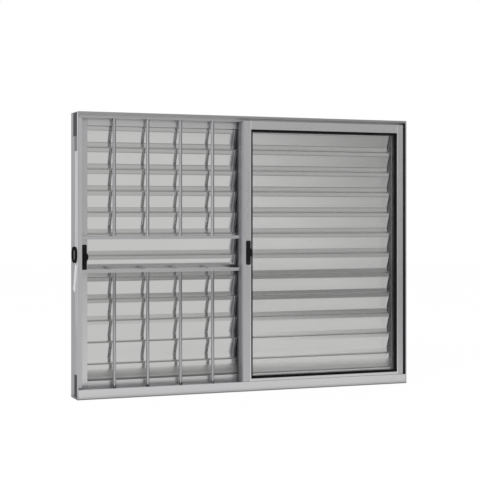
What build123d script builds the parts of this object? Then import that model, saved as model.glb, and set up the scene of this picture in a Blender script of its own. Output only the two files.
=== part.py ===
from build123d import *
import math
import os

# Aluminium sliding window: a glass leaf in front, a fixed louvre leaf in the middle plane, a sliding
# louvre leaf at the back, and a grille of round bars across the half that opens. Millimetres.
# X runs to the right seen from the room, -Y faces the room, Z is up.
# The origin is under the middle of the sill, at half the frame's depth.

os.makedirs("parts", exist_ok=True)

# Outer size of the frame
window_width = 1280.0
window_height = 1000.0

# Frame extrusions: a web against the wall, a flange at the room side, two dividers and a rear box
frame_wall = 1.5
jamb_flange_reach = 4.0
head_flange_reach = 8.0
sill_flange_reach = 35.0
jamb_divider_reach = 23.0
head_divider_reach = 19.0
sill_divider_reach = 28.0
rear_box_depth = 8.0
rear_box_reach = 14.0
track_width = 3.0
track_height = 8.0
drip_step = 0.8
drip_height = 8.0

# Cut-outs in the left jamb's web: a notch open at the top end and a punched window near the foot
cutout_front_inset = 6.0
notch_width = 58.0
notch_height = 85.0
punch_width = 42.0
punch_height = 68.0
punch_foot_inset = 32.0

# Leaves: one glass leaf, two louvre leaves
glass_leaf_depth = 22.0
louvre_leaf_depth = 28.0
leaf_wall = 1.2
front_gap = 3.0
running_gap = 0.5
fit_gap = 0.3

# Glass leaf
glass_side_gap = 11.5
glass_centre_overlap = 28.0
glass_leaf_top_gap = 16.0
meeting_stile_width = 34.0
glass_end_stile_width = 25.0
glass_top_rail_height = 31.0
glass_bottom_rail_height = 35.0
pocket_depth = 10.0
pane_thickness = 3.0
pane_bite = 8.0
gasket_face = 8.0
gasket_tongue = 4.0
gasket_thickness = 4.0

# Louvre leaves
shutter_side_gap = 14.5
shutter_centre_overlap = 28.0
fixed_side_gap = 14.5
fixed_centre_overlap = 27.0
louvre_stile_width = 34.0
louvre_top_gap = 10.0
louvre_top_rail_height = 34.0
shutter_bottom_rail_height = 46.5
fixed_bottom_rail_height = 50.0

# Slats
slat_count = 12
last_slat_drop = 58.0
slat_sheet = 0.9
slat_lip_inset = 5.5
slat_hook = 6.0
slat_lip = 16.0
slat_slope_height = 35.0
slat_slope_depth = 8.5
slat_overlap = 8.0
slat_bite = 6.0

# Rollers and the pins that carry them
roller_radius = 11.0
roller_groove = 3.0
roller_width = 10.0
axle_radius = 2.5
roller_end_inset = 70.0
roller_channel_height = 21.5

# Grille
grille_rail_depth = 18.0
grille_rail_height = 11.5
grille_rail_wall = 1.2
upper_rail_centre = 561.0
lower_rail_centre = 444.0
bar_radius = 6.0
bar_wall = 1.2
bar_bite = 6.0
bar_pitch = 122.3
first_bar_inset = 141.7
bar_count = 4

# Locks and keepers
lock_length = 88.0
lock_width = 16.5
lock_corner = 5.0
lock_thickness = 4.0
lock_edge_inset = 3.0
lock_bulge_reach = 6.0
lock_bulge_height = 28.0
lock_root_round = 8.0
lock_case_width = 7.0
lock_case_length = 66.0
lock_case_depth = 13.0
lock_case_shift = 4.2
thumb_width = 7.0
thumb_length = 24.0
thumb_height = 3.0
thumb_edge_slope = 1.0
thumb_pocket_depth = 1.5
glass_lock_height = 504.0
shutter_lock_height = 493.0
keeper_height = 57.0
keeper_ring_depth = 85.0
keeper_opening_width = 30.0
keeper_opening_height = 33.0
keeper_plate = 1.5
keeper_collar_width = 14.0
keeper_collar_height = 46.0
keeper_collar_wall = 2.0
keeper_collar_depth = 4.0
keeper_centre_height = 502.0

# Wall anchors: flat straps fixed on the jambs' outer faces
anchor_width = 29.0
anchor_thickness = 1.5
anchor_length = 97.0
anchor_corner_cut = 2.0
anchor_keeper_gap = 1.0
anchor_front_inset = 16.0
anchor_angle = 18.0

# Places through the depth, from the room side to outdoors
frame_depth = (3 * frame_wall + front_gap + 5 * running_gap + glass_leaf_depth
               + 2 * louvre_leaf_depth + rear_box_depth)
front = -frame_depth / 2
rear = frame_depth / 2
glass_front = front + frame_wall + front_gap
glass_back = glass_front + glass_leaf_depth
front_divider = glass_back + running_gap
middle_front = front_divider + frame_wall + running_gap
middle_back = middle_front + louvre_leaf_depth
rear_divider = middle_back + running_gap
shutter_front = rear_divider + frame_wall + running_gap
shutter_back = shutter_front + louvre_leaf_depth
rear_box_front = shutter_back + running_gap

# Places across the width and up the height
half_width = window_width / 2
web_face = half_width - frame_wall
track_top = frame_wall + track_height
leaf_bottom = track_top + running_gap
head_web = window_height - frame_wall
glass_centre = (glass_front + glass_back) / 2
middle_centre = (middle_front + middle_back) / 2
shutter_centre = (shutter_front + shutter_back) / 2
glass_leaf_left = -glass_centre_overlap
glass_leaf_right = web_face - glass_side_gap
glass_leaf_top = window_height - glass_leaf_top_gap
shutter_left = shutter_side_gap - web_face
shutter_right = shutter_centre_overlap
fixed_leaf_left = -fixed_centre_overlap
fixed_leaf_right = web_face - fixed_side_gap
louvre_top = window_height - louvre_top_gap
slat_top = louvre_top - louvre_top_rail_height
shutter_bottom_edge = leaf_bottom + shutter_bottom_rail_height
slat_pitch = (slat_top - shutter_bottom_edge - last_slat_drop) / (slat_count - 1)
grille_front = middle_front + running_gap
bar_centre = grille_front + grille_rail_depth / 2
keeper_middle = (glass_centre + shutter_centre) / 2
anchor_turn = math.radians(anchor_angle)
anchor_top_height = (keeper_centre_height - keeper_height / 2 - anchor_keeper_gap
                     - anchor_width / 2 * math.sin(anchor_turn))


def save(piece, label):
    """Label a finished piece and write it."""
    piece.part.label = label
    export_step(piece.part, f"parts/{label}.step")


def panel(first_a, first_b, second_a, second_b, mode=Mode.ADD):
    """Draw a rectangle between two opposite corners in the open sketch."""
    with Locations(((first_a + first_b) / 2, (second_a + second_b) / 2)):
        Rectangle(abs(first_b - first_a), abs(second_b - second_a), mode=mode)


# Jambs: full height, with the dividers stopped at those of the sill and head
def make_jamb(side, is_lock_side):
    outer = side * half_width
    inner = side * web_face
    divider = outer - side * jamb_divider_reach
    box = outer - side * rear_box_reach
    cutout_front = front + cutout_front_inset
    with BuildPart() as jamb:
        with BuildSketch(Plane.XY):
            panel(outer, inner, front, rear)
            panel(outer, outer - side * jamb_flange_reach, front, front + frame_wall)
            panel(outer, box, rear_box_front, rear)
            panel(inner, box + side * frame_wall, rear_box_front + frame_wall, rear - frame_wall,
                  mode=Mode.SUBTRACT)
        extrude(amount=window_height)
        with BuildSketch(Plane.XY.offset(sill_divider_reach)):
            panel(inner, divider, front_divider, front_divider + frame_wall)
            panel(inner, divider, rear_divider, rear_divider + frame_wall)
        extrude(amount=window_height - sill_divider_reach - head_divider_reach)
        if is_lock_side:
            with BuildSketch(Plane.YZ.offset(outer)):
                panel(cutout_front, cutout_front + notch_width, window_height - notch_height, window_height)
                panel(cutout_front, cutout_front + punch_width, punch_foot_inset,
                      punch_foot_inset + punch_height)
                with Locations((glass_centre, keeper_centre_height), (shutter_centre, keeper_centre_height)):
                    Rectangle(keeper_collar_width + 2 * fit_gap, keeper_collar_height + 2 * fit_gap)
            extrude(amount=-side * frame_wall, mode=Mode.SUBTRACT)
    return jamb


save(make_jamb(-1, True), "frame_jamb_left")
save(make_jamb(1, False), "frame_jamb_right")


# Head: cut to stand between the jambs' webs, its flange and rear box between the jambs' own
with BuildPart() as frame_head:
    with BuildSketch(Plane.YZ.offset(-web_face)):
        panel(front + frame_wall, rear_box_front, head_web, window_height)
        panel(front_divider, front_divider + frame_wall, window_height - head_divider_reach, head_web)
        panel(rear_divider, rear_divider + frame_wall, window_height - head_divider_reach, head_web)
    extrude(amount=2 * web_face)
    with BuildSketch(Plane.YZ.offset(jamb_flange_reach - half_width)):
        panel(front, front + frame_wall, window_height - head_flange_reach, window_height)
    extrude(amount=2 * (half_width - jamb_flange_reach))
    with BuildSketch(Plane.YZ.offset(rear_box_reach - half_width)):
        panel(rear_box_front, rear, window_height - rear_box_reach, window_height)
        panel(rear_box_front + frame_wall, rear - frame_wall, window_height - rear_box_reach + frame_wall,
              head_web, mode=Mode.SUBTRACT)
    extrude(amount=2 * (half_width - rear_box_reach))
save(frame_head, "frame_head")


# Sill: a tall room-side flange with a drip step, and a track under each leaf
with BuildPart() as frame_sill:
    with BuildSketch(Plane.YZ.offset(-web_face)):
        panel(front + frame_wall, rear_box_front, 0, frame_wall)
        panel(front_divider, front_divider + frame_wall, frame_wall, sill_divider_reach)
        panel(rear_divider, rear_divider + frame_wall, frame_wall, sill_divider_reach)
        for track_y in (glass_centre, middle_centre, shutter_centre):
            panel(track_y - track_width / 2, track_y + track_width / 2, frame_wall, track_top)
    extrude(amount=2 * web_face)
    with BuildSketch(Plane.YZ.offset(jamb_flange_reach - half_width)):
        panel(front, front + frame_wall, 0, sill_flange_reach)
        panel(front, front + drip_step, 0, drip_height, mode=Mode.SUBTRACT)
    extrude(amount=2 * (half_width - jamb_flange_reach))
    with BuildSketch(Plane.YZ.offset(rear_box_reach - half_width)):
        panel(rear_box_front, rear, 0, rear_box_reach)
        panel(rear_box_front + frame_wall, rear - frame_wall, frame_wall, rear_box_reach - frame_wall,
              mode=Mode.SUBTRACT)
    extrude(amount=2 * (half_width - rear_box_reach))
save(frame_sill, "frame_sill")


# Lock keepers: the two halves of an oval ring outside the left jamb, each with a collar through
# the web that is open towards its leaf
def make_keeper(centre_y):
    outer = -half_width
    away = keeper_ring_depth if centre_y > keeper_middle else -keeper_ring_depth
    with BuildPart() as keeper:
        with BuildSketch(Plane.YZ.offset(outer - keeper_plate)):
            with Locations((keeper_middle, keeper_centre_height)):
                SlotOverall(keeper_ring_depth, keeper_height)
                Rectangle(keeper_opening_width, keeper_opening_height, mode=Mode.SUBTRACT)
            panel(keeper_middle, keeper_middle - away, keeper_centre_height - keeper_height,
                  keeper_centre_height + keeper_height, mode=Mode.SUBTRACT)
        extrude(amount=keeper_plate)
        with BuildSketch(Plane.YZ.offset(outer)):
            with Locations((centre_y, keeper_centre_height)):
                Rectangle(keeper_collar_width, keeper_collar_height)
                Rectangle(keeper_collar_width - 2 * keeper_collar_wall,
                          keeper_collar_height - 2 * keeper_collar_wall, mode=Mode.SUBTRACT)
        extrude(amount=keeper_collar_depth)
    return keeper


save(make_keeper(glass_centre), "lock_keeper_glass")
save(make_keeper(shutter_centre), "lock_keeper_shutter")


# Wall anchors: flat straps that lie along the jambs until they are bent into the wall
def make_anchor(side):
    face = side * half_width
    with BuildPart() as anchor:
        with BuildSketch(Plane.YZ.offset(face)):
            with Locations((front + anchor_front_inset, anchor_top_height)):
                with Locations(Location((0, 0, 0), (0, 0, anchor_angle - 90))):
                    with Locations((anchor_length / 2, 0)):
                        strap = Rectangle(anchor_length, anchor_width)
                    chamfer(strap.vertices(), length=anchor_corner_cut)
        extrude(amount=side * anchor_thickness)
    return anchor


save(make_anchor(-1), "wall_anchor_left")
save(make_anchor(1), "wall_anchor_right")


# Glass leaf stiles: a hollow chamber with a glazing pocket along the inner edge
def make_glass_stile(outer_x, inner_x, lock_x):
    inward = 1 if inner_x > outer_x else -1
    chamber_end = inner_x - inward * (pocket_depth + leaf_wall)
    with BuildPart() as stile:
        with BuildSketch(Plane.XY.offset(leaf_bottom)):
            panel(outer_x, inner_x, glass_front, glass_back)
            panel(outer_x + inward * leaf_wall, chamber_end, glass_front + leaf_wall,
                  glass_back - leaf_wall, mode=Mode.SUBTRACT)
            panel(inner_x - inward * pocket_depth, inner_x, glass_front + leaf_wall,
                  glass_back - leaf_wall, mode=Mode.SUBTRACT)
        extrude(amount=glass_leaf_top - leaf_bottom)
        if lock_x is not None:
            with BuildSketch(Plane.XZ.offset(-glass_front)):
                with Locations((lock_x - lock_case_shift, glass_lock_height)):
                    Rectangle(lock_case_width + 2 * fit_gap, lock_case_length + 2 * fit_gap)
            extrude(amount=-leaf_wall, mode=Mode.SUBTRACT)
    return stile


glass_left_inner = glass_leaf_left + meeting_stile_width
glass_right_inner = glass_leaf_right - glass_end_stile_width
glass_lock_x = glass_left_inner - lock_edge_inset - lock_width / 2
save(make_glass_stile(glass_leaf_left, glass_left_inner, glass_lock_x), "glass_leaf_stile_left")
save(make_glass_stile(glass_leaf_right, glass_right_inner, None), "glass_leaf_stile_right")

glass_rail_length = glass_right_inner - glass_left_inner
glass_top_edge = glass_leaf_top - glass_top_rail_height
glass_bottom_edge = leaf_bottom + glass_bottom_rail_height


# Glass leaf rails, cut between the stiles
with BuildPart() as glass_leaf_top_rail:
    with BuildSketch(Plane.YZ.offset(glass_left_inner)):
        panel(glass_front, glass_back, glass_top_edge, glass_leaf_top)
        panel(glass_front + leaf_wall, glass_back - leaf_wall, glass_top_edge + pocket_depth + leaf_wall,
              glass_leaf_top - leaf_wall, mode=Mode.SUBTRACT)
        panel(glass_front + leaf_wall, glass_back - leaf_wall, glass_top_edge,
              glass_top_edge + pocket_depth, mode=Mode.SUBTRACT)
    extrude(amount=glass_rail_length)
save(glass_leaf_top_rail, "glass_leaf_top_rail")

glass_channel_top = glass_bottom_edge - pocket_depth - leaf_wall
channel_top = leaf_bottom + roller_channel_height
groove_over_track = roller_groove * (1 - track_width / roller_width)
axle_height = track_top + fit_gap + roller_radius - groove_over_track


def roller_places(left_x, right_x):
    """The two places along a leaf where its rollers sit."""
    return (left_x + roller_end_inset, right_x - roller_end_inset)


with BuildPart() as glass_leaf_bottom_rail:
    with BuildSketch(Plane.YZ.offset(glass_left_inner)):
        panel(glass_front, glass_back, leaf_bottom, glass_bottom_edge)
        panel(glass_front + leaf_wall, glass_back - leaf_wall, leaf_bottom, glass_channel_top,
              mode=Mode.SUBTRACT)
        panel(glass_front + leaf_wall, glass_back - leaf_wall, glass_bottom_edge - pocket_depth,
              glass_bottom_edge, mode=Mode.SUBTRACT)
    extrude(amount=glass_rail_length)
    with BuildSketch(Plane.XZ.offset(leaf_wall - glass_back)):
        for roller_x in roller_places(glass_left_inner, glass_right_inner):
            with Locations((roller_x, axle_height)):
                Circle(axle_radius)
    extrude(amount=glass_leaf_depth - 2 * leaf_wall)
save(glass_leaf_bottom_rail, "glass_leaf_bottom_rail")


# Pane and its gasket, a ring on each face with a tongue tucked behind the lips
pane_front = glass_centre - pane_thickness / 2
pane_back = glass_centre + pane_thickness / 2

with BuildPart() as glass_leaf_pane:
    with BuildSketch(Plane.XZ.offset(-pane_front)):
        panel(glass_left_inner - pane_bite, glass_right_inner + pane_bite,
              glass_bottom_edge - pane_bite, glass_top_edge + pane_bite)
    extrude(amount=-pane_thickness)
save(glass_leaf_pane, "glass_leaf_pane")


def gasket_ring(outward, inward):
    """Draw the ring between two rectangles round the glass opening."""
    panel(glass_left_inner - outward, glass_right_inner + outward,
          glass_bottom_edge - outward, glass_top_edge + outward)
    panel(glass_left_inner + inward, glass_right_inner - inward,
          glass_bottom_edge + inward, glass_top_edge - inward, mode=Mode.SUBTRACT)


with BuildPart() as glass_leaf_gasket:
    with BuildSketch(Plane.XZ.offset(-(pane_front - gasket_thickness))):
        gasket_ring(gasket_tongue, gasket_face)
    extrude(amount=-gasket_thickness)
    with BuildSketch(Plane.XZ.offset(-(glass_front + leaf_wall))):
        gasket_ring(gasket_tongue, 0)
    extrude(amount=-(pane_front - glass_front - leaf_wall))
    with BuildSketch(Plane.XZ.offset(-pane_back)):
        gasket_ring(gasket_tongue, gasket_face)
    extrude(amount=-gasket_thickness)
    with BuildSketch(Plane.XZ.offset(-pane_back)):
        gasket_ring(gasket_tongue, 0)
    extrude(amount=-(glass_back - leaf_wall - pane_back))
save(glass_leaf_gasket, "glass_leaf_gasket")


# Slats: folded sheet with a hook at the top, an upright lip, a slope down to the outside and an
# upright skirt that hangs behind the next slat's hook
def slat_sections(cut_x, face_y, bottom_limit, growth):
    """Sketch every slat's section across the leaf, grown all round for a punched slot."""
    slope_end = slat_lip + slat_slope_height
    with BuildSketch(Plane.YZ.offset(cut_x)) as sections:
        for index in range(slat_count):
            top_z = slat_top - index * slat_pitch
            drop = min(slat_pitch + slat_overlap, top_z - bottom_limit)
            slope_drop = min(drop, slope_end)
            slope_y = slat_slope_depth * (slope_drop - slat_lip) / slat_slope_height
            points = [
                (face_y + slat_hook, top_z),
                (face_y, top_z),
                (face_y, top_z - slat_lip),
                (face_y + slope_y, top_z - slope_drop),
            ]
            if drop > slope_end + slat_sheet:
                points.append((face_y + slope_y, top_z - drop))
            with BuildLine():
                Polyline(*points)
                offset(amount=slat_sheet, side=Side.LEFT, kind=Kind.INTERSECTION)
            make_face()
        if growth > 0:
            offset(amount=growth, kind=Kind.INTERSECTION)
    return sections.sketch


def make_slats(left_x, right_x, leaf_front, bottom_limit):
    first_x = left_x + louvre_stile_width - slat_bite
    last_x = right_x - louvre_stile_width + slat_bite
    sections = slat_sections(first_x, leaf_front + slat_lip_inset, bottom_limit, 0)
    with BuildPart() as slats:
        extrude(sections, amount=last_x - first_x)
    return slats


# Louvre leaf stiles: hollow, with a punched slot for each slat's end
def make_louvre_stile(outer_x, inner_x, leaf_front, bottom_z, bottom_limit, lock_x):
    inward = 1 if inner_x > outer_x else -1
    slots = slat_sections(inner_x, leaf_front + slat_lip_inset, bottom_limit, fit_gap)
    with BuildPart() as stile:
        with BuildSketch(Plane.XY.offset(bottom_z)):
            panel(outer_x, inner_x, leaf_front, leaf_front + louvre_leaf_depth)
            panel(outer_x + inward * leaf_wall, inner_x - inward * leaf_wall, leaf_front + leaf_wall,
                  leaf_front + louvre_leaf_depth - leaf_wall, mode=Mode.SUBTRACT)
        extrude(amount=louvre_top - bottom_z)
        extrude(slots, amount=-inward * leaf_wall, mode=Mode.SUBTRACT)
        if lock_x is not None:
            with BuildSketch(Plane.XZ.offset(-leaf_front)):
                with Locations((lock_x - lock_case_shift, shutter_lock_height)):
                    Rectangle(lock_case_width + 2 * fit_gap, lock_case_length + 2 * fit_gap)
            extrude(amount=-leaf_wall, mode=Mode.SUBTRACT)
    return stile


# Louvre leaf rails: plain hollow boxes; the sliding leaf's bottom rail has a channel for its rollers
def make_box_rail(left_x, right_x, leaf_front, bottom_z, top_z):
    with BuildPart() as rail:
        with BuildSketch(Plane.YZ.offset(left_x)):
            panel(leaf_front, leaf_front + louvre_leaf_depth, bottom_z, top_z)
            panel(leaf_front + leaf_wall, leaf_front + louvre_leaf_depth - leaf_wall,
                  bottom_z + leaf_wall, top_z - leaf_wall, mode=Mode.SUBTRACT)
        extrude(amount=right_x - left_x)
    return rail


# Sliding louvre leaf
shutter_left_inner = shutter_left + louvre_stile_width
shutter_right_inner = shutter_right - louvre_stile_width
shutter_lock_x = shutter_left_inner - lock_edge_inset - lock_width / 2
save(make_louvre_stile(shutter_left, shutter_left_inner, shutter_front, leaf_bottom,
                       shutter_bottom_edge, shutter_lock_x), "sliding_shutter_stile_left")
save(make_louvre_stile(shutter_right, shutter_right_inner, shutter_front, leaf_bottom,
                       shutter_bottom_edge, None), "sliding_shutter_stile_right")
save(make_box_rail(shutter_left_inner, shutter_right_inner, shutter_front, slat_top, louvre_top),
     "sliding_shutter_top_rail")
save(make_slats(shutter_left, shutter_right, shutter_front, shutter_bottom_edge),
     "sliding_shutter_slats")

with BuildPart() as sliding_shutter_bottom_rail:
    with BuildSketch(Plane.YZ.offset(shutter_left_inner)):
        panel(shutter_front, shutter_back, leaf_bottom, shutter_bottom_edge)
        panel(shutter_front + leaf_wall, shutter_back - leaf_wall, leaf_bottom, channel_top,
              mode=Mode.SUBTRACT)
        panel(shutter_front + leaf_wall, shutter_back - leaf_wall, channel_top + leaf_wall,
              shutter_bottom_edge - leaf_wall, mode=Mode.SUBTRACT)
    extrude(amount=shutter_right_inner - shutter_left_inner)
    with BuildSketch(Plane.XZ.offset(leaf_wall - shutter_back)):
        for roller_x in roller_places(shutter_left_inner, shutter_right_inner):
            with Locations((roller_x, axle_height)):
                Circle(axle_radius)
    extrude(amount=louvre_leaf_depth - 2 * leaf_wall)
save(sliding_shutter_bottom_rail, "sliding_shutter_bottom_rail")


# Fixed louvre leaf, standing on the middle track
fixed_left_inner = fixed_leaf_left + louvre_stile_width
fixed_right_inner = fixed_leaf_right - louvre_stile_width
fixed_bottom_edge = track_top + fixed_bottom_rail_height
save(make_louvre_stile(fixed_leaf_left, fixed_left_inner, middle_front, track_top,
                       fixed_bottom_edge, None), "fixed_shutter_stile_left")
save(make_louvre_stile(fixed_leaf_right, fixed_right_inner, middle_front, track_top,
                       fixed_bottom_edge, None), "fixed_shutter_stile_right")
save(make_box_rail(fixed_left_inner, fixed_right_inner, middle_front, slat_top, louvre_top),
     "fixed_shutter_top_rail")
save(make_box_rail(fixed_left_inner, fixed_right_inner, middle_front, track_top, fixed_bottom_edge),
     "fixed_shutter_bottom_rail")
save(make_slats(fixed_leaf_left, fixed_leaf_right, middle_front, fixed_bottom_edge),
     "fixed_shutter_slats")


# Rollers: grooved wheels on the pins of the bottom rails, over the tracks
def make_rollers(left_x, right_x, centre_y):
    bore = axle_height + axle_radius + fit_gap
    rim = axle_height + roller_radius
    with BuildPart() as rollers:
        for roller_x in roller_places(left_x, right_x):
            with BuildSketch(Plane.YZ.offset(roller_x)):
                with BuildLine():
                    Polyline(
                        (centre_y - roller_width / 2, bore),
                        (centre_y - roller_width / 2, rim),
                        (centre_y, rim - roller_groove),
                        (centre_y + roller_width / 2, rim),
                        (centre_y + roller_width / 2, bore),
                        close=True,
                    )
                make_face()
            revolve(axis=Axis((roller_x, centre_y, axle_height), (0, 1, 0)))
    return rollers


save(make_rollers(glass_left_inner, glass_right_inner, glass_centre), "glass_leaf_rollers")
save(make_rollers(shutter_left_inner, shutter_right_inner, shutter_centre), "sliding_shutter_rollers")


# Locks: an upright rounded shell with a thumb bulge, its case through the stile, and a thumb slide
def make_lock_shell(lock_x, lock_z, face_y):
    edge_x = lock_x + lock_width / 2
    with BuildPart() as shell:
        with BuildSketch(Plane.XZ.offset(-face_y)) as outline:
            with Locations((lock_x, lock_z)):
                RectangleRounded(lock_width, lock_length, lock_corner)
            with BuildLine():
                bulge = ThreePointArc(
                    (edge_x, lock_z - lock_bulge_height / 2),
                    (edge_x + lock_bulge_reach, lock_z),
                    (edge_x, lock_z + lock_bulge_height / 2),
                )
                Line(bulge @ 1, bulge @ 0)
            make_face()
            roots = outline.vertices().filter_by(
                lambda corner: corner.X > lock_x and abs(corner.Y - lock_z) < lock_bulge_height)
            fillet(roots.sort_by(lambda corner: abs(corner.Y - lock_z))[:2], radius=lock_root_round)
        extrude(amount=lock_thickness)
        with BuildSketch(Plane.XZ.offset(-face_y + lock_thickness)):
            with Locations((lock_x, lock_z)):
                Rectangle(thumb_width + 2 * fit_gap, thumb_length + 2 * fit_gap)
        extrude(amount=-thumb_pocket_depth, mode=Mode.SUBTRACT)
        with BuildSketch(Plane.XZ.offset(-face_y)):
            with Locations((lock_x - lock_case_shift, lock_z)):
                Rectangle(lock_case_width, lock_case_length)
        extrude(amount=-lock_case_depth)
    return shell


def make_lock_thumb(lock_x, lock_z, face_y):
    with BuildPart() as thumb:
        with BuildSketch(Plane.XZ.offset(-face_y + lock_thickness - thumb_pocket_depth)):
            with Locations((lock_x, lock_z)):
                Rectangle(thumb_width, thumb_length)
        extrude(amount=thumb_height)
        chamfer(thumb.faces().sort_by(Axis.Y)[0].edges(), length=thumb_edge_slope)
    return thumb


save(make_lock_shell(glass_lock_x, glass_lock_height, glass_front), "glass_leaf_lock_shell")
save(make_lock_thumb(glass_lock_x, glass_lock_height, glass_front), "glass_leaf_lock_thumb")
save(make_lock_shell(shutter_lock_x, shutter_lock_height, shutter_front), "sliding_shutter_lock_shell")
save(make_lock_thumb(shutter_lock_x, shutter_lock_height, shutter_front), "sliding_shutter_lock_thumb")


# Grille rails: small square tubes from the left jamb to the fixed leaf, drilled for the bars
bar_places = [-half_width + first_bar_inset + index * bar_pitch for index in range(bar_count)]
upper_rail_top = upper_rail_centre + grille_rail_height / 2
lower_rail_bottom = lower_rail_centre - grille_rail_height / 2
head_rail_bottom = head_web - grille_rail_height
sill_rail_top = track_top + grille_rail_height


def make_grille_rail(bottom_z, drilled_z):
    with BuildPart() as rail:
        with BuildSketch(Plane.YZ.offset(-web_face)):
            panel(grille_front, grille_front + grille_rail_depth, bottom_z, bottom_z + grille_rail_height)
            offset(amount=-grille_rail_wall, mode=Mode.SUBTRACT, kind=Kind.INTERSECTION)
        extrude(amount=fixed_leaf_left + web_face)
        drill_depth = grille_rail_wall if drilled_z == bottom_z else -grille_rail_wall
        with BuildSketch(Plane.XY.offset(drilled_z)):
            with Locations(*[(bar_x, bar_centre) for bar_x in bar_places]):
                Circle(bar_radius + fit_gap)
        extrude(amount=drill_depth, mode=Mode.SUBTRACT)
    return rail


save(make_grille_rail(head_rail_bottom, head_rail_bottom), "grille_head_rail")
save(make_grille_rail(upper_rail_centre - grille_rail_height / 2, upper_rail_top), "grille_upper_rail")
save(make_grille_rail(lower_rail_bottom, lower_rail_bottom), "grille_lower_rail")
save(make_grille_rail(track_top, sill_rail_top), "grille_sill_rail")


# Grille bars: each end passes through the drilled wall of a rail
def make_bar(bar_x, bottom_z, top_z):
    with BuildPart() as bar:
        with BuildSketch(Plane.XY.offset(bottom_z - bar_bite)):
            with Locations((bar_x, bar_centre)):
                Circle(bar_radius)
                Circle(bar_radius - bar_wall, mode=Mode.SUBTRACT)
        extrude(amount=top_z - bottom_z + 2 * bar_bite)
    return bar


for number, place in enumerate(bar_places, start=1):
    save(make_bar(place, upper_rail_top, head_rail_bottom), f"grille_bar_upper_{number}")
    save(make_bar(place, sill_rail_top, lower_rail_bottom), f"grille_bar_lower_{number}")
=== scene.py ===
import math

import bmesh
import bpy
from mathutils import Matrix, Vector


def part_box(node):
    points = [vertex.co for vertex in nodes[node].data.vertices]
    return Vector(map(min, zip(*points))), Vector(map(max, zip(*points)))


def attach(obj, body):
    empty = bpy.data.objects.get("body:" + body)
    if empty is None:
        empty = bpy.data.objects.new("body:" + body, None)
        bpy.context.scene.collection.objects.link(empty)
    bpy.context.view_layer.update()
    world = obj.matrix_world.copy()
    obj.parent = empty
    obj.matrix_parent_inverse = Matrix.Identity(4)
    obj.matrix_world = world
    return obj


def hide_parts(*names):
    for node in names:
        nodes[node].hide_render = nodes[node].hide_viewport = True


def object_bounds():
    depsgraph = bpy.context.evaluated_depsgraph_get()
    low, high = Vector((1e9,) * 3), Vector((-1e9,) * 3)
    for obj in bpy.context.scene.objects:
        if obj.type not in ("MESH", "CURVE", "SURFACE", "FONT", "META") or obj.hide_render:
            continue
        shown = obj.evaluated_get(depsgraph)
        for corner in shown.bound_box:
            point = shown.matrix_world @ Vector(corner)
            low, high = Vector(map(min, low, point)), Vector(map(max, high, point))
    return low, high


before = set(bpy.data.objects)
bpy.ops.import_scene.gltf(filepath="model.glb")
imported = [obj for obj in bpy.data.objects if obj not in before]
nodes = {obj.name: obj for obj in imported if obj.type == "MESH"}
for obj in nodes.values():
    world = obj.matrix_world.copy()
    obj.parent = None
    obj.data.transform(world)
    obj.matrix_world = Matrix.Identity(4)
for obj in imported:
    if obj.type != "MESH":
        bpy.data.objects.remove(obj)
cad_low, cad_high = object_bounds()
mm = 0.001


# Outer frame: two jambs, a head and a sill, cut from satin anodised aluminium extrusions and
# screwed together at the corners. The die leaves fine lines along each length, and every outer
# corner of an extrusion is eased by a few tenths of a millimetre, which catches the light.
frame_wall = 1.5 * mm
eased_edge = 0.4 * mm
jamb_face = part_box("frame_jamb_left")[0][0]
# The hole punched in the left jamb's outer web lies lower than in the solids.
solid_punch_low, solid_punch_high = 32 * mm, 100 * mm
punch_low, punch_high = 8 * mm, 86 * mm
# What counts as a long edge, a wide face, one place or one plane, a flat, a bend and a corner.
long_edge = 60 * mm
wide_face = 6 * mm
merge_distance = 0.005 * mm
same_plane = math.radians(0.5)
flat_turn = math.radians(2)
bend_turn = math.radians(31)
corner_turn = math.radians(40)
# Real die lines are some tenths of a millimetre apart, too fine to show, so they are drawn coarser.
die_line = 1.6 * mm
die_depth = 0.03 * mm
die_stretch = 0.012
cloud_size = 260 * mm
# Where the metal is painted darker or lighter, mostly as painted shade and painted light. The fade of a
# whole web ends in front of the window.
unshaded_height, shaded_height = 550 * mm, 100 * mm
outer_web_start = -jamb_face - 0.1 * mm
rear_start, rear_fade = -11 * mm, 0.8 * mm
foot_top, foot_fade = 320 * mm, 100 * mm
web_reach = 0.3 * mm
whole_web = (-1.0, -0.9)
sill_foot = 4 * mm
head_front = cad_low[1] + 2 * mm


def linear(hex_colour):
    """Turn an sRGB hex colour into the linear colour that a shader takes."""
    channels = [int(hex_colour[i:i + 2], 16) / 255 for i in (1, 3, 5)]
    return [c / 12.92 if c <= 0.04045 else ((c + 0.055) / 1.055) ** 2.4 for c in channels] + [1.0]


def add(tree, kind, inputs, **settings):
    """Add one shader node with its settings, and give each input a value or a link."""
    node = tree.nodes.new("ShaderNode" + kind)
    for name, value in settings.items():
        setattr(node, name, value)
    for name, value in inputs.items():
        if isinstance(value, bpy.types.NodeSocket):
            tree.links.new(value, node.inputs[name])
        else:
            node.inputs[name].default_value = value
    return node


def new_material(name):
    """Start an empty material, and give its tree and its output."""
    material = bpy.data.materials.new(name)
    material.use_nodes = True
    material.node_tree.nodes.clear()
    output = add(material.node_tree, "OutputMaterial", {})
    return material, material.node_tree, output


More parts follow.
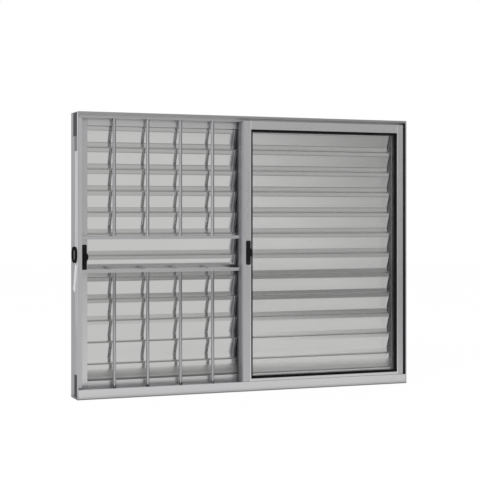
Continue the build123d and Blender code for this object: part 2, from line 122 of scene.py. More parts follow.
def drawn_aluminium(name, dark, light, roughness, along, line_depth, wave_size=None, wave_depth=0):
    """Extruded, drawn or rolled metal: two near greys in soft clouds, and fine lines along one axis."""
    material, tree, output = new_material(name)
    place = add(tree, "TexCoord", {})
    stretch = [die_stretch if axis == along else 1.0 for axis in "XYZ"]
    across = add(tree, "Mapping", {"Vector": place.outputs["Object"], "Scale": stretch})
    lines = add(tree, "TexNoise", {"Vector": across.outputs["Vector"], "Scale": 1 / die_line,
                                   "Detail": 3.0, "Roughness": 0.6})
    clouds = add(tree, "TexNoise", {"Vector": place.outputs["Object"], "Scale": 1 / cloud_size,
                                    "Detail": 2.0})
    tone = add(tree, "Mix", {"Factor": clouds.outputs["Fac"], 6: linear(dark), 7: linear(light)},
               data_type="RGBA")
    gloss = add(tree, "MapRange", {"Value": lines.outputs["Fac"], "From Min": 0.3, "From Max": 0.7,
                                   "To Min": roughness - 0.04, "To Max": roughness + 0.05})
    relief = add(tree, "Bump", {"Height": lines.outputs["Fac"], "Strength": 0.35,
                                "Distance": line_depth})
    if wave_size:
        waves = add(tree, "TexNoise", {"Vector": place.outputs["Object"], "Scale": 1 / wave_size,
                                       "Detail": 1.0})
        relief = add(tree, "Bump", {"Height": waves.outputs["Fac"], "Strength": 1.0,
                                    "Distance": wave_depth, "Normal": relief.outputs["Normal"]})
    shader = add(tree, "BsdfPrincipled", {"Base Color": tone.outputs[2], "Metallic": 1.0,
                                          "Roughness": gloss.outputs["Result"],
                                          "Normal": relief.outputs["Normal"]})
    tree.links.new(shader.outputs["BSDF"], output.inputs["Surface"])
    return material


def finish(piece, material):
    """Give a piece its one material."""
    piece.data.materials.clear()
    piece.data.materials.append(material)
    return piece


def new_piece(name, shape):
    """Turn a bmesh into a piece that rides on the window."""
    mesh = bpy.data.meshes.new(name)
    shape.to_mesh(mesh)
    shape.free()
    piece = bpy.data.objects.new(name, mesh)
    bpy.context.scene.collection.objects.link(piece)
    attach(piece, "root")
    return piece


def turn_of(edge):
    """The angle between an edge's two faces."""
    return edge.calc_face_angle(0.0)


def soften(shape):
    """Shade curves and bends smooth, and keep flats and their borders crisp."""
    for face in shape.faces:
        face.smooth = True
    for edge in shape.edges:
        reach = max((face.calc_area() / max(edge.calc_length(), mm) for face in edge.link_faces),
                    default=0)
        flat_border = reach > wide_face and turn_of(edge) > flat_turn
        edge.smooth = not flat_border and turn_of(edge) < bend_turn


def merged_copy(name):
    """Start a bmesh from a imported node, with its triangles merged into whole faces."""
    shape = bmesh.new()
    shape.from_mesh(nodes[name].data)
    bmesh.ops.remove_doubles(shape, verts=shape.verts, dist=merge_distance)
    bmesh.ops.dissolve_limit(shape, angle_limit=same_plane, verts=shape.verts, edges=shape.edges)
    return shape


def ease(shape, edges, width, steps):
    """Round off some edges of a bmesh."""
    if edges:
        bmesh.ops.bevel(shape, geom=edges, offset=width, offset_type="OFFSET", segments=steps,
                        profile=0.5, affect="EDGES", clamp_overlap=True, material=-1)


def stand_for(name, shape, material):
    """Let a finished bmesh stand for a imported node."""
    soften(shape)
    piece = finish(new_piece(f"{name}_eased", shape), material)
    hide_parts(name)
    return piece


def eased_length(name, along, material, width=eased_edge, nose=0):
    """Ease an extrusion's long corners and cut ends, and round its left front corner by the nose."""
    shape = merged_copy(name)
    if nose:
        left, front = (min(vertex.co[axis] for vertex in shape.verts) + merge_distance for axis in (0, 1))
        ease(shape, [edge for edge in shape.edges if edge.calc_length() > long_edge
                     and all(vertex.co[0] < left and vertex.co[1] < front for vertex in edge.verts)],
             nose, 5)
    axis = "XYZ".index(along)
    places = [vertex.co[axis] for vertex in shape.verts]
    ends = (min(places), max(places))
    corners = [edge for edge in shape.edges if turn_of(edge) > corner_turn
               and (edge.calc_length() > long_edge
                    or any(all(abs(vertex.co[axis] - end) < merge_distance for vertex in edge.verts)
                           for end in ends))]
    ease(shape, corners, width, 2)
    return stand_for(name, shape, material)


def tone_and_gloss_where(material, mask, colour, roughness):
    """Give the part of a surface that a mask picks another tone and another gloss; here the tone is mostly
    painted shade or painted light.
    """
    tree = material.node_tree
    shader = next(node for node in tree.nodes if node.type == "BSDF_PRINCIPLED")
    tone, gloss = (shader.inputs[name].links[0].from_socket for name in ("Base Color", "Roughness"))
    both_tones = add(tree, "Mix", {"Factor": mask, 6: tone, 7: linear(colour)}, data_type="RGBA")
    both_glosses = add(tree, "Mix", {"Factor": mask, 2: gloss, 3: roughness}, data_type="FLOAT")
    tree.links.new(both_tones.outputs[2], shader.inputs["Base Color"])
    tree.links.new(both_glosses.outputs[0], shader.inputs["Roughness"])


def object_axes(material):
    """The separate X, Y and Z of a place on the object."""
    place = add(material.node_tree, "TexCoord", {})
    return add(material.node_tree, "SeparateXYZ", {"Vector": place.outputs["Object"]}).outputs


def shade_by_height(material, unshaded, shaded, colour):
    """Paint shade on an upright extrusion, a little darker and duller from an unshaded height to a shaded
    one.
    """
    share = add(material.node_tree, "MapRange", {"Value": object_axes(material)["Z"], "From Min": unshaded,
                                                 "From Max": shaded})
    tone_and_gloss_where(material, share.outputs["Result"], colour, 0.33)


def shade_outer_webs(material):
    """Paint shade on the jambs' outer webs, darker and duller than their fronts, and more painted shade at
    their foot; their rear part is darker and duller still.
    """
    tree = material.node_tree
    axes = object_axes(material)
    reach = add(tree, "Math", {0: axes["X"]}, operation="ABSOLUTE")
    outside = add(tree, "Math", {0: reach.outputs[0], 1: outer_web_start}, operation="GREATER_THAN")
    behind = add(tree, "MapRange", {"Value": axes["Y"], "From Min": rear_start,
                                    "From Max": rear_start + rear_fade})
    rear = add(tree, "Math", {0: outside.outputs[0], 1: behind.outputs["Result"]}, operation="MULTIPLY")
    below = add(tree, "MapRange", {"Value": axes["Z"], "From Min": foot_top,
                                   "From Max": foot_top - foot_fade})
    foot = add(tree, "Math", {0: outside.outputs[0], 1: below.outputs["Result"]}, operation="MULTIPLY")
    tone_and_gloss_where(material, outside.outputs[0], "#D8D8DA", 0.32)
    tone_and_gloss_where(material, foot.outputs[0], "#BCBCBF", 0.4)
    tone_and_gloss_where(material, rear.outputs[0], "#B8B8BC", 0.5)


def shade_web(material, plane, colour, fade=whole_web):
    """Paint shade on one web across X, dark and dull, the whole of it or from one depth to another."""
    tree = material.node_tree
    axes = object_axes(material)
    web = add(tree, "Math", {0: axes["X"], 1: plane, 2: web_reach}, operation="COMPARE")
    behind = add(tree, "MapRange", {"Value": axes["Y"], "From Min": fade[0], "From Max": fade[1]})
    both = add(tree, "Math", {0: web.outputs[0], 1: behind.outputs["Result"]}, operation="MULTIPLY")
    tone_and_gloss_where(material, both.outputs[0], colour, 0.5)


# The jambs are a light satin grey, with painted shade towards the foot, on the outer webs and on the right
# jamb's inner web beside the leaves.
jamb_metal = drawn_aluminium("anodised_aluminium_jamb", "#E2E2E3", "#EAEAEB", 0.30, "Z", die_depth)
shade_by_height(jamb_metal, unshaded_height, shaded_height, "#D4D4D6")
shade_outer_webs(jamb_metal)
shade_web(jamb_metal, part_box("frame_jamb_right")[1][0] - frame_wall, "#6E6E72")

# The sill is painted the brightest member, a painted light on the frame's aluminium, apart from a painted
# shade line along its foot, which is also duller.
sill_metal = drawn_aluminium("anodised_aluminium_sill", "#E8E8EA", "#F0F0F1", 0.30, "X", die_depth)
below = add(sill_metal.node_tree, "Math", {0: object_axes(sill_metal)["Z"], 1: sill_foot},
            operation="LESS_THAN")
tone_and_gloss_where(sill_metal, below.outputs[0], "#B4B4B6", 0.4)

# The head is the frame's aluminium with painted light and shade: its front is painted a darker grey, a
# painted shade, and what lies behind its front is painted bright, a painted light, and half dull.
head_metal = drawn_aluminium("anodised_aluminium_head", "#BEBEC0", "#C7C7C9", 0.34, "X", die_depth)
behind = add(head_metal.node_tree, "Math", {0: object_axes(head_metal)["Y"], 1: head_front},
             operation="GREATER_THAN")
tone_and_gloss_where(head_metal, behind.outputs[0], "#E9E9EA", 0.45)

left_jamb = eased_length("frame_jamb_left", "Z", jamb_metal)
eased_length("frame_jamb_right", "Z", jamb_metal)
eased_length("frame_head", "X", head_metal)
eased_length("frame_sill", "X", sill_metal)

for vertex in left_jamb.data.vertices:
    for solid_height, height in ((solid_punch_low, punch_low), (solid_punch_high, punch_high)):
        if vertex.co[0] < jamb_face + 2 * mm and abs(vertex.co[2] - solid_height) < mm:
            vertex.co[2] += height - solid_height


# Leaves: hollow stiles and rails of the same anodised extrusion, the rails cut between the
# stiles. The glass leaf runs in front, one louvre leaf stands fixed and the other slides behind.
leaf_edge = 0.9 * mm
meeting_nose = 4 * mm
nose_reach = 8 * mm
nose_margin = 1 * mm
lip_inset, lip_half_width = 1.6 * mm, 1.5 * mm
meeting_web_start, meeting_web_full = 2 * mm, 12 * mm
shutter_unshaded_height, shutter_shaded_height = 350 * mm, 620 * mm


def shade_nose(material, left, front, colour):
    """Paint shade on the rounded left front corner of a stile, darker and duller towards its web."""
    tree = material.node_tree
    axes = object_axes(material)
    beside = add(tree, "MapRange", {"Value": axes["X"], "From Min": left + nose_reach,
                                    "From Max": left + nose_margin})
    ahead = add(tree, "Math", {0: axes["Y"], 1: front + meeting_nose + nose_margin},
                operation="LESS_THAN")
    nose = add(tree, "Math", {0: beside.outputs["Result"], 1: ahead.outputs[0]}, operation="MULTIPLY")
    tone_and_gloss_where(material, nose.outputs[0], colour, 0.45)


def paint_glass_stile_light(material):
    """Paint a highlight on the lips beside the pane, and painted shade on the meeting stile's nose and its
    web.
    """
    meeting_low, meeting_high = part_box("glass_leaf_stile_left")
    lock_stile_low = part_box("glass_leaf_stile_right")[0]
    for lip_middle in (meeting_high[0] - lip_inset, lock_stile_low[0] + lip_inset):
        lip = add(material.node_tree, "Math", {0: object_axes(material)["X"], 1: lip_middle,
                                               2: lip_half_width}, operation="COMPARE")
        tone_and_gloss_where(material, lip.outputs[0], "#FCFCFD", 0.26)
    shade_nose(material, meeting_low[0], meeting_low[1], "#C2C2C6")
    shade_web(material, meeting_low[0], "#A0A0A5",
             (meeting_low[1] + meeting_web_start, meeting_low[1] + meeting_web_full))


# Rails and stiles have the frame's satin grey with a little more gloss, and the webs that stand close to
# another leaf carry painted shade.
rail_metal = drawn_aluminium("anodised_aluminium_rail", "#E6E6E7", "#EEEEEF", 0.28, "X", die_depth)
shaded_webs = {"glass_leaf": {},
             "fixed_shutter": {"stile_left": "#98989D", "stile_right": "#58585B"},
             "sliding_shutter": {"stile_right": "#8C8C91"}}
for leaf, shaded_stiles in shaded_webs.items():
    stile_metal = drawn_aluminium(f"anodised_aluminium_{leaf}_stile", "#E1E1E2", "#E9E9EA", 0.28, "Z",
                                  die_depth)
    # Painted shade: the sliding shutter's stiles grow darker upwards, the other stiles towards the foot.
    if leaf == "sliding_shutter":
        shade_by_height(stile_metal, shutter_unshaded_height, shutter_shaded_height, "#DBDBDD")
    else:
        shade_by_height(stile_metal, unshaded_height, shaded_height, "#D3D3D5")
    for part, colour in shaded_stiles.items():
        shade_web(stile_metal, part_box(f"{leaf}_{part}")[0][0], colour)
    if leaf == "glass_leaf":
        paint_glass_stile_light(stile_metal)
    for part in ("stile_left", "stile_right"):
        nose = meeting_nose if (leaf, part) == ("glass_leaf", "stile_left") else 0
        eased_length(f"{leaf}_{part}", "Z", stile_metal, leaf_edge, nose)
    for part in ("top_rail", "bottom_rail"):
        eased_length(f"{leaf}_{part}", "X", rail_metal, leaf_edge)


# Slats: roll-formed aluminium sheet, pushed into punched slots of the stiles. The sheet is
# smoother than the extrusions, so it mirrors the bars in front of it, and it is faintly wavy.
# Its folds are rolled to a small radius, wider outside the fold than inside.
hook_fold, hook_fold_inside = 2.6 * mm, 1.7 * mm
hook_turns = (60, 120)
lip_fold = 1.6 * mm
lip_turns = (8, 30)
least_face = 3 * mm
slat_count = 12
last_slat_drop = 58 * mm
slat_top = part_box("fixed_shutter_slats")[1][2]
slat_pitch = (slat_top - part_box("sliding_shutter_bottom_rail")[1][2] - last_slat_drop) / (slat_count - 1)
last_slat = (slat_count - 1) * slat_pitch
# The lower fold of each slope lies further down than in the solids.
solid_slope_foot = 51.5 * mm
longer_slope = 7 * mm
seam_height, seam_reach = 9 * mm, 2.5 * mm


def shade_seams(material):
    """Darken the seam where a skirt goes down behind the next slat's hook."""
    tree = material.node_tree
    below = add(tree, "Math", {0: slat_top - seam_reach, 1: object_axes(material)["Z"]},
                operation="SUBTRACT")
    phase = add(tree, "Math", {0: below.outputs[0], 1: slat_pitch, 2: 0.0}, operation="WRAP")
    seam = add(tree, "MapRange", {"Value": phase.outputs[0], "From Min": slat_pitch - seam_height,
                                  "From Max": slat_pitch - seam_height / 2})
    tone_and_gloss_where(material, seam.outputs["Result"], "#CACAC8", 0.3)


def shade_foot(material):
    """Let the last slat grow duller from its lip down, with a dark edge at its foot."""
    tree = material.node_tree
    below = add(tree, "Math", {0: slat_top, 1: object_axes(material)["Z"]}, operation="SUBTRACT")
    dull_lip = (8 * mm, 30 * mm, "#E6E6E4", 0.44)
    dark_edge = (49 * mm, 54 * mm, "#8A8A88", 0.5)
    for start, end, colour, roughness in (dull_lip, dark_edge):
        share = add(tree, "MapRange", {"Value": below.outputs[0], "From Min": last_slat + start,
                                       "From Max": last_slat + end})
        tone_and_gloss_where(material, share.outputs["Result"], colour, roughness)


def lengthen_slopes(shape):
    """Set each slope's lower fold a little further down, except on the short last slat."""
    for vertex in shape.verts:
        below = slat_top - vertex.co[2]
        if below < last_slat and abs(below % slat_pitch - solid_slope_foot) < 2 * mm:
            vertex.co[2] -= longer_slope


def sheet_folds(shape, turns, outside):
    """The long edges between two wide faces of the sheet whose turn lies between two angles."""
    low, high = (math.radians(turn) for turn in turns)
    return [edge for edge in shape.edges
            if edge.calc_length() > long_edge and low < turn_of(edge) < high
            and edge.is_convex == outside
            and min(face.calc_area() / edge.calc_length() for face in edge.link_faces) > least_face]


slat_sheet = drawn_aluminium("rolled_aluminium_sheet", "#DFDFDE", "#E7E7E6", 0.09, "X", 0.006 * mm,
                             wave_size=110 * mm, wave_depth=0.03 * mm)
shade_seams(slat_sheet)
shade_foot(slat_sheet)
for leaf in ("fixed_shutter", "sliding_shutter"):
    slats = merged_copy(f"{leaf}_slats")
    lengthen_slopes(slats)
    ease(slats, sheet_folds(slats, hook_turns, True), hook_fold, 4)
    ease(slats, sheet_folds(slats, hook_turns, False), hook_fold_inside, 4)
    ease(slats, sheet_folds(slats, lip_turns, True), lip_fold, 2)
    ease(slats, sheet_folds(slats, lip_turns, False), lip_fold, 2)
    stand_for(f"{leaf}_slats", slats, slat_sheet)


# Grille: small square tubes, drilled for round bars, all of drawn aluminium. It guards the
# half that opens. The round bars are smooth and mirror the room, and the square tubes are satin.
bar_metal = drawn_aluminium("drawn_aluminium_bar", "#BABABC", "#C4C4C6", 0.10, "Z", 0.01 * mm)
tube_metal = drawn_aluminium("drawn_aluminium_square_tube", "#DADADC", "#E3E3E5", 0.26, "X", 0.02 * mm)
for rail in ("head", "upper", "lower", "sill"):
    eased_length(f"grille_{rail}_rail", "X", tube_metal)
for row in ("upper", "lower"):
    for number in range(1, 5):
        bar = f"grille_bar_{row}_{number}"
        stand_for(bar, merged_copy(bar), bar_metal)


# Wall anchors: one flat strip of mill aluminium clinched to each jamb, to be set in the wall.
# It isn't anodised, so it is whiter than the frame, and the rolling lines are left on it.
anchor_edge = 0.3 * mm
anchor_metal = drawn_aluminium("rolled_mill_aluminium", "#F8F8FB", "#FEFEFF", 0.48, "Z", die_depth)
for side in ("left", "right"):
    eased_length(f"wall_anchor_{side}", "Z", anchor_metal, anchor_edge)


# Pane: clear float glass with polished faces, held all round by the gasket. Light passes it as
# through an opening, so that it casts no dark shadow on the slats behind.
def float_glass(name):
    """Clear glass with polished faces, which lets the lamp's light straight through."""
    material, tree, output = new_material(name)
    path = add(tree, "LightPath", {})
    shader = add(tree, "BsdfPrincipled", {"Base Color": linear("#FFFFFF"), "Roughness": 0.02,
                                          "IOR": 1.52, "Transmission Weight": 1.0})
    clear = add(tree, "BsdfTransparent", {"Color": linear("#FBFCFB")})
    both = add(tree, "MixShader", {0: path.outputs["Is Shadow Ray"], 1: shader.outputs["BSDF"],
                                   2: clear.outputs["BSDF"]})
    tree.links.new(both.outputs["Shader"], output.inputs["Surface"])
    return material


finish(nodes["glass_leaf_pane"], float_glass("clear_float_glass"))


# Gasket, locks and keepers: black extruded rubber round the pane, and locks and keepers
# moulded in black nylon with a fine spark-eroded grain.
gasket_edge = 0.8 * mm
shell_edge, thumb_edge, keeper_edge = 0.6 * mm, 0.3 * mm, 0.5 * mm
rib_height = 0.5 * mm


def moulded(name, dark, light, roughness, grain, depth, shine=0.5):
    """Rubber or plastic: two near tones and a fine grain in its skin."""
    material, tree, output = new_material(name)
    place = add(tree, "TexCoord", {})
    skin = add(tree, "TexNoise", {"Vector": place.outputs["Object"], "Scale": 1 / grain,
                                  "Detail": 2.0})
    patch = add(tree, "TexNoise", {"Vector": place.outputs["Object"], "Scale": 0.05 / grain,
                                   "Detail": 2.0})
    tone = add(tree, "Mix", {"Factor": patch.outputs["Fac"], 6: linear(dark), 7: linear(light)},
               data_type="RGBA")
    gloss = add(tree, "MapRange", {"Value": patch.outputs["Fac"], "To Min": roughness - 0.06,
                                   "To Max": roughness + 0.06})
    relief = add(tree, "Bump", {"Height": skin.outputs["Fac"], "Strength": 0.5, "Distance": depth})
    shader = add(tree, "BsdfPrincipled", {"Base Color": tone.outputs[2],
                                          "Roughness": gloss.outputs["Result"],
                                          "Specular IOR Level": shine,
                                          "Normal": relief.outputs["Normal"]})
    tree.links.new(shader.outputs["BSDF"], output.inputs["Surface"])
    return material


def eased_front(name, side, width, steps, material, give_way=0):
    """Ease the edges round a moulding's outermost face towards -X or -Y, and set that face back."""
    shape = merged_copy(name)
    axis = "XY".index(side)
    front = min(vertex.co[axis] for vertex in shape.verts)
    rim = [edge for edge in shape.edges if turn_of(edge) > corner_turn
           and all(vertex.co[axis] < front + merge_distance for vertex in edge.verts)]
    ease(shape, rim, width, steps)
    for vertex in shape.verts:
        if vertex.co[axis] < front + width + merge_distance:
            vertex.co[axis] += give_way
    return stand_for(name, shape, material)


# Rubber and nylon are matt, and the keepers' nylon is the mattest and blackest. Their grain is
# drawn at about half a millimetre, coarser than it is, so that it shows.
gasket_rubber = moulded("extruded_black_rubber", "#0A0A0B", "#121213", 0.66, 0.6 * mm, 0.02 * mm, 0.2)
lock_nylon = moulded("moulded_black_nylon", "#0C0C0D", "#141415", 0.6, 0.5 * mm, 0.04 * mm, 0.22)
keeper_nylon = moulded("moulded_matt_black_nylon", "#060607", "#0B0B0C", 0.8, 0.5 * mm, 0.04 * mm, 0.05)
eased_length("glass_leaf_gasket", "X", gasket_rubber, gasket_edge)
for leaf in ("glass_leaf", "sliding_shutter"):
    eased_front(f"{leaf}_lock_shell", "Y", shell_edge, 3, lock_nylon)
    eased_front(f"{leaf}_lock_thumb", "Y", thumb_edge, 2, lock_nylon, rib_height)
for leaf in ("glass", "shutter"):
    eased_front(f"lock_keeper_{leaf}", "X", keeper_edge, 2, keeper_nylon)


# Small fittings: two low-headed screws in each lock shell, grip ribs on the thumb slides, and,
# behind the opening of the keepers' ring, a black pocket plate with a narrow grey latch on it.
small_edge = 0.2 * mm
screw_radius, screw_taper = 2.6 * mm, 0.5 * mm
screw_height = 0.8 * mm
screw_inset = 7.5 * mm
rib_count = 5
rib_pitch, rib_width = 4.2 * mm, 1.4 * mm
rib_start = 3 * mm
rib_inset = 0.8 * mm
plate_out, plate_half_width, plate_half_height = 0.8 * mm, 14.6 * mm, 16.1 * mm
latch_out, latch_half_width, latch_half_height = 1.3 * mm, 6 * mm, 15 * mm
latch_sunk = 0.2 * mm


def block(name, low, high, width, material):
    """A block between two corners, with every edge eased."""
    shape = bmesh.new()
    middle = [(a + b) / 2 for a, b in zip(low, high)]
    size = [b - a for a, b in zip(low, high)]
    bmesh.ops.create_cube(shape, size=1.0,
                          matrix=Matrix.Translation(middle) @ Matrix.Diagonal((*size, 1.0)))
    ease(shape, list(shape.edges), width, 2)
    soften(shape)
    return finish(new_piece(name, shape), material)


def lock_screw(name, place, material):
    """A screw head that faces the room, its rim tapered."""
    head = bmesh.new()
    bmesh.ops.create_cone(head, cap_ends=True, segments=24, radius1=screw_radius,
                          radius2=screw_radius - screw_taper, depth=screw_height,
                          matrix=Matrix.Translation(place) @ Matrix.Rotation(math.radians(90), 4, "X"))
    soften(head)
    return finish(new_piece(name, head), material)


# Blackened steel has a soft sheen that lifts the screws out of the nylon.
screw_steel = moulded("blackened_steel", "#1A1A1C", "#242427", 0.4, 0.5 * mm, 0.02 * mm)
for leaf in ("glass_leaf", "sliding_shutter"):
    shell_low, shell_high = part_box(f"{leaf}_lock_shell")
    thumb_low, thumb_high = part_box(f"{leaf}_lock_thumb")
    centre_x = (thumb_low[0] + thumb_high[0]) / 2
    for end, height in (("lower", shell_low[2] + screw_inset), ("upper", shell_high[2] - screw_inset)):
        lock_screw(f"{leaf}_lock_screw_{end}", (centre_x, shell_low[1], height), screw_steel)
    for number in range(rib_count):
        rib_bottom = thumb_low[2] + rib_start + number * rib_pitch
        block(f"{leaf}_thumb_rib_{number + 1}",
              (thumb_low[0] + rib_inset, thumb_low[1], rib_bottom),
              (thumb_high[0] - rib_inset, thumb_low[1] + 2 * rib_height, rib_bottom + rib_width),
              small_edge, lock_nylon)

# The latch is moulded nylon too, a mid grey strip that stands out in the black ring.
latch_nylon = moulded("moulded_grey_nylon", "#606064", "#6A6A6E", 0.6, 0.5 * mm, 0.04 * mm, 0.2)
keeper_low, keeper_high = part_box("lock_keeper_glass")
ring_middle = (keeper_high[1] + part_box("lock_keeper_shutter")[0][1]) / 2
ring_centre = (keeper_low[2] + keeper_high[2]) / 2
block("lock_keeper_pocket_plate",
      (jamb_face - plate_out, ring_middle - plate_half_width, ring_centre - plate_half_height),
      (jamb_face, ring_middle + plate_half_width, ring_centre + plate_half_height),
      small_edge, keeper_nylon)
block("lock_keeper_latch",
      (jamb_face - latch_out, ring_middle - latch_half_width, ring_centre - latch_half_height),
      (jamb_face - plate_out + latch_sunk, ring_middle + latch_half_width,
       ring_centre + latch_half_height), small_edge, latch_nylon)


# Pads and pile: grey foam pads close the cut-outs of the left jamb from inside, their dark grey standing
# in for the shade inside the hollow jamb; a short foam tape under the upper cut-out stands in for the
# shade there; and a strip of grey pile, woven on a backing, runs down the outer web of the fixed shutter's
# meeting stile, its dark grey also standing in for shade on that web.
pad_front = -42 * mm
pad_outside, pad_inside = jamb_face + 0.1 * mm, jamb_face + 1.3 * mm
tape_outside = jamb_face - 0.8 * mm
notch_width, notch_foot, notch_top = 58 * mm, 915 * mm, 998.4 * mm
punch_width = 42 * mm
tape_width, tape_foot, tape_top = 38 * mm, 863 * mm, 914.8 * mm
pile_rearward, pile_half_width = 9 * mm, 3.5 * mm
pile_out, pile_sunk = 1.0 * mm, 0.2 * mm
pile_margin, pile_edge = 1 * mm, 0.3 * mm

# The open skin of foam and the tufts of pile have hardly any shine. The pads are a dark grey and the tape
# a mid grey, both painted shade, and the pile's dark grey is its own colour and painted shade both.
shade_pad_foam = moulded("cut_grey_foam_painted_shade", "#434347", "#515155", 0.8, 1.2 * mm, 0.15 * mm, 0.2)
shade_tape_foam = moulded("cut_light_grey_foam_painted_shade", "#77777B", "#848488", 0.8, 1.2 * mm, 0.15 * mm, 0.2)
pile_and_shade = moulded("woven_grey_pile_and_painted_shade", "#48484C", "#56565A", 0.85, 0.7 * mm, 0.3 * mm, 0.15)
block("frame_notch_shade_pad", (pad_outside, pad_front, notch_foot),
      (pad_inside, pad_front + notch_width, notch_top), small_edge, shade_pad_foam)
block("frame_punch_shade_pad", (pad_outside, pad_front, punch_low),
      (pad_inside, pad_front + punch_width, punch_high), small_edge, shade_pad_foam)
block("frame_notch_shade_tape", (tape_outside, pad_front, tape_foot),
      (pad_outside, pad_front + tape_width, tape_top), small_edge, shade_tape_foam)
stile_low, stile_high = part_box("fixed_shutter_stile_left")
pile_centre = (stile_low[1] + stile_high[1]) / 2 + pile_rearward
block("fixed_shutter_pile_and_shade_strip",
      (stile_low[0] - pile_out, pile_centre - pile_half_width, stile_low[2] + pile_margin),
      (stile_low[0] + pile_sunk, pile_centre + pile_half_width, stile_high[2] - pile_margin),
      pile_edge, pile_and_shade)


# Rollers: nylon wheels, turned to a groove, on pins inside the bottom rails, which hide them.
# The nylon is pale and half dull.
roller_nylon = moulded("turned_pale_nylon", "#D8D5CC", "#E2DFD6", 0.48, 0.8 * mm, 0.02 * mm)
for name in ("glass_leaf_rollers", "sliding_shutter_rollers"):
    stand_for(name, merged_copy(name), roller_nylon)


# Studio: a white floor under a white surround, one broad soft lamp from the upper left, and
# the camera of the photograph, level, 4.6 m away and a little left of the window's middle.
floor_width = 24.0
# Most of what is seen of the floor is glow, and its matt rest keeps the window's shadow.
glow_share = 0.9
glow_seen = 1.02
# How bright mirrors show the floor, from one distance in metres to another. The dimming close to the
# window is a painted shadow.
close_by = {"From Min": 0.047, "From Max": 0.10, "To Min": 0.25, "To Max": 1.0}
far_off = {"From Min": 2.6, "From Max": 3.6, "To Min": 0.68, "To Max": 0.42}
far_right = {"From Min": 0.75, "From Max": 1.9, "To Min": 1.0, "To Max": 0.45}
surround_light = 0.75
# How bright mirrors show the surround: straight ahead, how it fades to the right and up, and least.
ahead, fade_right, fade_up, darkest = 0.638, -0.42, -0.25, 0.42


def white_floor(name):
    """Matt white that mostly glows when seen. In mirrors it is dimmer close by, a painted shadow, and
    dimmer far off and right.
    """
    material, tree, output = new_material(name)
    path = add(tree, "LightPath", {})
    axes = object_axes(material)
    away = add(tree, "Math", {0: axes["Y"]}, operation="ABSOLUTE")
    near = add(tree, "MapRange", {"Value": away.outputs[0], **close_by})
    far = add(tree, "MapRange", {"Value": away.outputs[0], **far_off})
    right = add(tree, "MapRange", {"Value": axes["X"], **far_right})
    sides = add(tree, "Math", {0: far.outputs["Result"], 1: right.outputs["Result"]},
                operation="MULTIPLY")
    mirrored = add(tree, "Math", {0: near.outputs["Result"], 1: sides.outputs[0]},
                   operation="MULTIPLY")
    strength = add(tree, "Mix", {"Factor": path.outputs["Is Glossy Ray"], 2: glow_seen,
                                 3: mirrored.outputs[0]}, data_type="FLOAT")
    seen = add(tree, "Math", {0: path.outputs["Is Camera Ray"], 1: path.outputs["Is Glossy Ray"]},
               operation="MAXIMUM")
    through = add(tree, "Math", {0: seen.outputs[0], 1: path.outputs["Is Transmission Ray"]},
                  operation="MAXIMUM")
    share = add(tree, "Math", {0: through.outputs[0], 1: glow_share}, operation="MULTIPLY")
    matt = add(tree, "BsdfDiffuse", {"Color": linear("#FFFFFF")})
    glow = add(tree, "Emission", {"Color": linear("#FFFFFF"), "Strength": strength.outputs[0]})
    both = add(tree, "MixShader", {0: share.outputs[0], 1: matt.outputs["BSDF"],
                                   2: glow.outputs["Emission"]})
    tree.links.new(both.outputs["Shader"], output.inputs["Surface"])
    return material


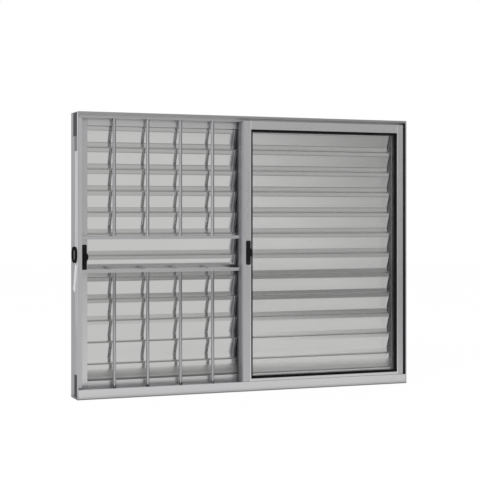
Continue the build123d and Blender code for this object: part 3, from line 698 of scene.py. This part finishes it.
def white_surround(name):
    """Plain white behind the window, a soft light on it, and in mirrors darker to the right and up."""
    world = bpy.data.worlds.new(name)
    world.use_nodes = True
    tree = world.node_tree
    tree.nodes.clear()
    output = add(tree, "OutputWorld", {})
    path = add(tree, "LightPath", {})
    reflected = add(tree, "Math", {0: path.outputs["Glossy Depth"], 1: 0.5}, operation="GREATER_THAN")
    straight = add(tree, "Math", {0: 1.0, 1: reflected.outputs[0]}, operation="SUBTRACT")
    through = add(tree, "Math", {0: path.outputs["Is Transmission Ray"], 1: straight.outputs[0]},
                  operation="MULTIPLY")
    seen = add(tree, "Math", {0: path.outputs["Is Camera Ray"], 1: through.outputs[0]},
               operation="MAXIMUM")
    place = add(tree, "TexCoord", {})
    axes = add(tree, "SeparateXYZ", {"Vector": place.outputs["Generated"]})
    across = add(tree, "Math", {0: axes.outputs["X"], 1: fade_right, 2: ahead},
                 operation="MULTIPLY_ADD")
    fade = add(tree, "Math", {0: axes.outputs["Z"], 1: fade_up, 2: across.outputs[0]},
               operation="MULTIPLY_ADD")
    mirrored = add(tree, "Clamp", {"Value": fade.outputs[0], "Min": darkest, "Max": 1.0})
    strength = add(tree, "Mix", {"Factor": path.outputs["Is Glossy Ray"], 2: surround_light,
                                 3: mirrored.outputs["Result"]}, data_type="FLOAT")
    light = add(tree, "Background", {"Color": linear("#FFFFFF"), "Strength": strength.outputs[0]})
    white = add(tree, "Background", {"Color": linear("#FFFFFF"), "Strength": 1.0})
    both = add(tree, "MixShader", {0: seen.outputs[0], 1: light.outputs["Background"],
                                   2: white.outputs["Background"]})
    tree.links.new(both.outputs["Shader"], output.inputs["Surface"])
    return world


bpy.ops.mesh.primitive_plane_add(size=floor_width, location=(0, 0, 0))
floor = bpy.context.object
floor.name = "studio_floor"
floor.data.materials.append(white_floor("matt_white_paint"))
bpy.context.scene.world = white_surround("white_surround")

lamp_data = bpy.data.lights.new("soft_lamp", "AREA")
lamp_data.shape = "RECTANGLE"
lamp_data.size, lamp_data.size_y = 2.4, 1.8
lamp_data.energy = 46.0
lamp = bpy.data.objects.new("soft_lamp", lamp_data)
bpy.context.scene.collection.objects.link(lamp)
lamp_aim = Vector((0, 0, 0.5))
lamp.location = (-2.2, -2.6, 2.8)
lamp.rotation_euler = (lamp_aim - lamp.location).to_track_quat("-Z", "Y").to_euler()

image_size = 480
horizon_row = 216.4
camera_yaw = math.radians(-20.775)
camera_data = bpy.data.cameras.new("camera")
camera_data.sensor_width = 36.0
camera_data.lens = 94.2
camera_data.shift_y = (horizon_row - image_size / 2) / image_size
camera_data.clip_end = 100.0
camera = bpy.data.objects.new("camera", camera_data)
bpy.context.scene.collection.objects.link(camera)
camera.location = (-1.654, -4.304, 0.636)
camera.rotation_euler = (math.radians(90), 0, camera_yaw)
bpy.context.scene.camera = camera
bpy.context.scene.view_settings.view_transform = "Standard"
